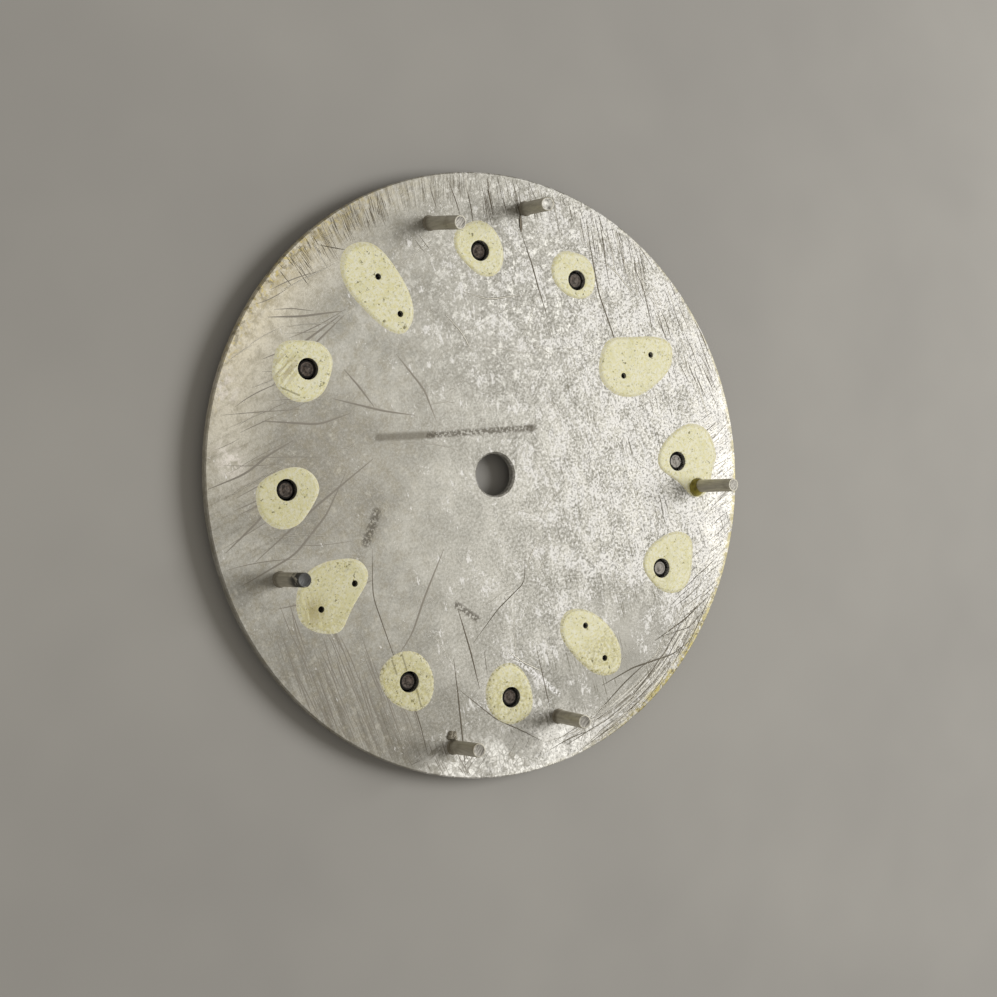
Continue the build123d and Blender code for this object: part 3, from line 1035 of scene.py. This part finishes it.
inside = 2 * (marker_wall + paint_gap)
bar = make_bar(baton_length - inside, baton_width - inside, paint_top, paint_bottom, lume_finish)
shape_edit(bar)
pick("FACE", lambda middle, normal: normal.z < -0.9)
terrace((0.07, -0.012), (0.15, -0.012))
smooth(bar, 50)
copy_to_hours(baton_hours, baton_circle,
              (baton, "milled_baton", "marker_metal", "marker_baton"),
              (bar, "luminous_bar", "luminous_paint", "paint_bar"))

# %% [markdown]
# ## Glue
# Clear glue, yellowed with age, was dabbed round every peg and has dried to a thin film with a
# soft edge and fine specks of dust. Each spot starts as a copy of its CAD node, so its outline is
# right. Its top is inset and the outer edge lowered, and a second, level inset keeps the shading
# of the top flat.

# %% Glue finish
# Lemon-pale film with faint mottles, more olive round the lower pegs, with specks of dust, brown
# streaks in two spots and the plate's scratches seen through it.
m, place = start_finish("yellowed_clear_glue")
mottle = node(m, "TexNoise", [place, 1 / 0.1, 4.0, 0.75])
away = node(m, "VectorMath", [place], operation="LENGTH")
away = node(m, "Math", [away, round_circle], operation="SUBTRACT")
away = node(m, "Math", [away], operation="ABSOLUTE")
by_pegs = node(m, "MapRange", [away, 0.5, 1.3, 1, 0], **soft)
colour = lay(
    m, "#f3edb4",
    ("#fffeea", node(m, "MapRange", [mottle, 0.36, 0.62], **soft)),
    ("#dcd892", patches(m, place, 0.8, 0.5, 0.7, 4.0, 0.65), 0.35),
    ("#9a9650", patches(m, place, 0.15, 0.55, 0.64, 4.0, 0.75), 0.4),
    ("#a89c4a", by_pegs, along(picture_up, -9, -2, 1, 0),
     patches(m, place, 0.16, 0.42, 0.6, 4.0, 0.75), 0.45))
for middle, turn in [((-6.2, 9.75), 15), ((-11.2, 0.15), 66)]:
    brown = node(m, "MapRange", [strokes(m, place, 0.16, 1.6, turn), 0.42, 0.56], **soft)
    colour = lay(m, colour, ("#8f7a3c", blob(middle, 1.0, turn, 1.2), brown, 0.55))
colour = lay(
    m, colour,
    ("#5d5428", blob((-8.9, 1.3), 0.9, -60, 1.4), patches(m, place, 0.14, 0.5, 0.6, 4.0, 0.7), 0.8),
    # Painted shade: the film is darker at the lower left, away from the lamp.
    ("#b9b27c", along(picture_right, -6, 2, 1, 0), along(picture_up, -1, 4, 1, 0), 0.28))
for start, end in [
        ((-9.0, -2.7), (-9.45, -4.6)), ((-8.45, -3.1), (-8.95, -4.75)),
        ((-9.05, -5.8), (-9.6, -7.5)), ((-7.1, 9.5), (-6.3, 8.4)), ((7.2, 7.7), (6.8, 6.1))]:
    colour = lay(m, colour, ("#837a50", line(start, end, 0.1), 0.6))
colour = lay(m, colour, ("#6a6224", patches(m, place, 0.26, 0.62, 0.67, 3.0, 0.75), 0.8))
glue_finish = end_finish(m, mottle, 0.012, Base_Color=colour, Roughness=0.42, IOR=1.5,
                         Specular_IOR_Level=0.25, Alpha=0.94)

# Where the film runs out it is paler, lets the metal through and is crackled at the lower hours.
m, place = start_finish("thin_glue_edge")
colour = lay(
    m, "#f1eaba",
    ("#fffde6", patches(m, place, 0.12, 0.4, 0.6, 4.0, 0.7)),
    ("#8f8548", along(picture_up, -9, -2, 1, 0), patches(m, place, 0.14, 0.5, 0.6, 4.0, 0.75), 0.7))
rim_finish = end_finish(m, Base_Color=colour, Roughness=0.5, IOR=1.5, Specular_IOR_Level=0.2,
                        Alpha=0.84)

# %% Glue spots
film_top = glue_height - 0.0001
sloped_edge = 0.07
flat_margin = 0.02
edge_drop = 0.014
for hour in range(1, 13):
    name = f"{hour:02d}"
    spot = copy_piece(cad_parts["glue_spot_" + name], "glue_film_" + name, Matrix())
    spot.data.materials.clear()
    spot.data.materials.append(glue_finish)
    spot.data.materials.append(rim_finish)
    merge_doubles(spot)
    bpy.ops.mesh.customdata_custom_splitnormals_clear()
    pick("FACE", lambda middle, normal: middle.z > film_top)
    bpy.ops.mesh.inset(thickness=sloped_edge * mm)
    bpy.ops.mesh.inset(thickness=flat_margin * mm)
    # An edge of the outline has a sloping face beside it, an inner one hasn't.
    pick("EDGE", lambda middle, normal: middle.z > film_top and normal.xy.length > 0.02)
    bpy.ops.transform.translate(value=(0, 0, -edge_drop * mm))
    pick("FACE", lambda middle, normal: middle.z < glue_height - edge_drop - 0.002)
    assign_picked(spot, rim_finish)
    if hour in baton_hours:
        for pin_place in pin_places(hour):
            combine(spot, make_rod(pin_hole_radius, -0.5, 0.5, 24, middle=pin_place), "DIFFERENCE")
    smooth(spot, 40)
    settle(spot, "clear_glue", "glue_spot_" + name)

# %% [markdown]
# ## The hidden front
# The front isn't in the photograph. It gets what such a dial has and no more: a dark lacquer a
# few micrometres thick and a plain printed minute track.

# %% Front lacquer
# Warm black gone a little brown in clouds, with a fine orange-peel that breaks up its sheen.
m, place = start_finish("matt_black_lacquer")
fine = node(m, "TexNoise", [place, 1 / 0.08, 3.0, 0.6])
colour = lay(m, "#1d1b19", ("#2b2723", patches(m, place, 3.0, 0.35, 0.7, 4.0, 0.5)))
lacquer_finish = end_finish(m, fine, 0.004, Base_Color=colour,
                            Roughness=node(m, "MapRange", [fine, 0.3, 0.7, 0.4, 0.55]))
lacquer_face = plate_front - 0.012
lacquer = make_rod(plate_radius - 0.05, lacquer_face, plate_front, 180, lacquer_finish)
lacquer.name = "front_lacquer"
hole = make_rod(hand_hole_radius + 0.02, plate_front - 0.5, plate_front + 0.5, 96)
combine(lacquer, hole, "DIFFERENCE")
smooth(lacquer)
settle(lacquer, "silvered_brass")

# %% Minute track
# Cream ink, slightly uneven as a pad print is.
m, place = start_finish("printed_dial_ink")
ragged = node(m, "TexNoise", [place, 1 / 0.07])
ink_finish = end_finish(m, Base_Color=lay(m, "#bdb79f", ("#d6d1bb", ragged)), Roughness=0.7)

# A tick's length, width and radius in mm: every fifth is longer and bolder.
minute_tick, hour_tick = (0.7, 0.07, 13.4), (1.1, 0.16, 13.2)
ticks = []
for minute in range(60):
    length, width, radius = minute_tick if minute % 5 else hour_tick
    tick = make_bar(length, width, lacquer_face - 0.004, lacquer_face + 0.002, ink_finish)
    tick.data.transform(at_hour(minute / 5, radius))
    ticks.append(tick)
only(ticks[0])
for tick in ticks:
    tick.select_set(True)
bpy.ops.object.join()
track = bpy.context.object
track.name = track.data.name = "minute_track"
settle(track, "silvered_brass")
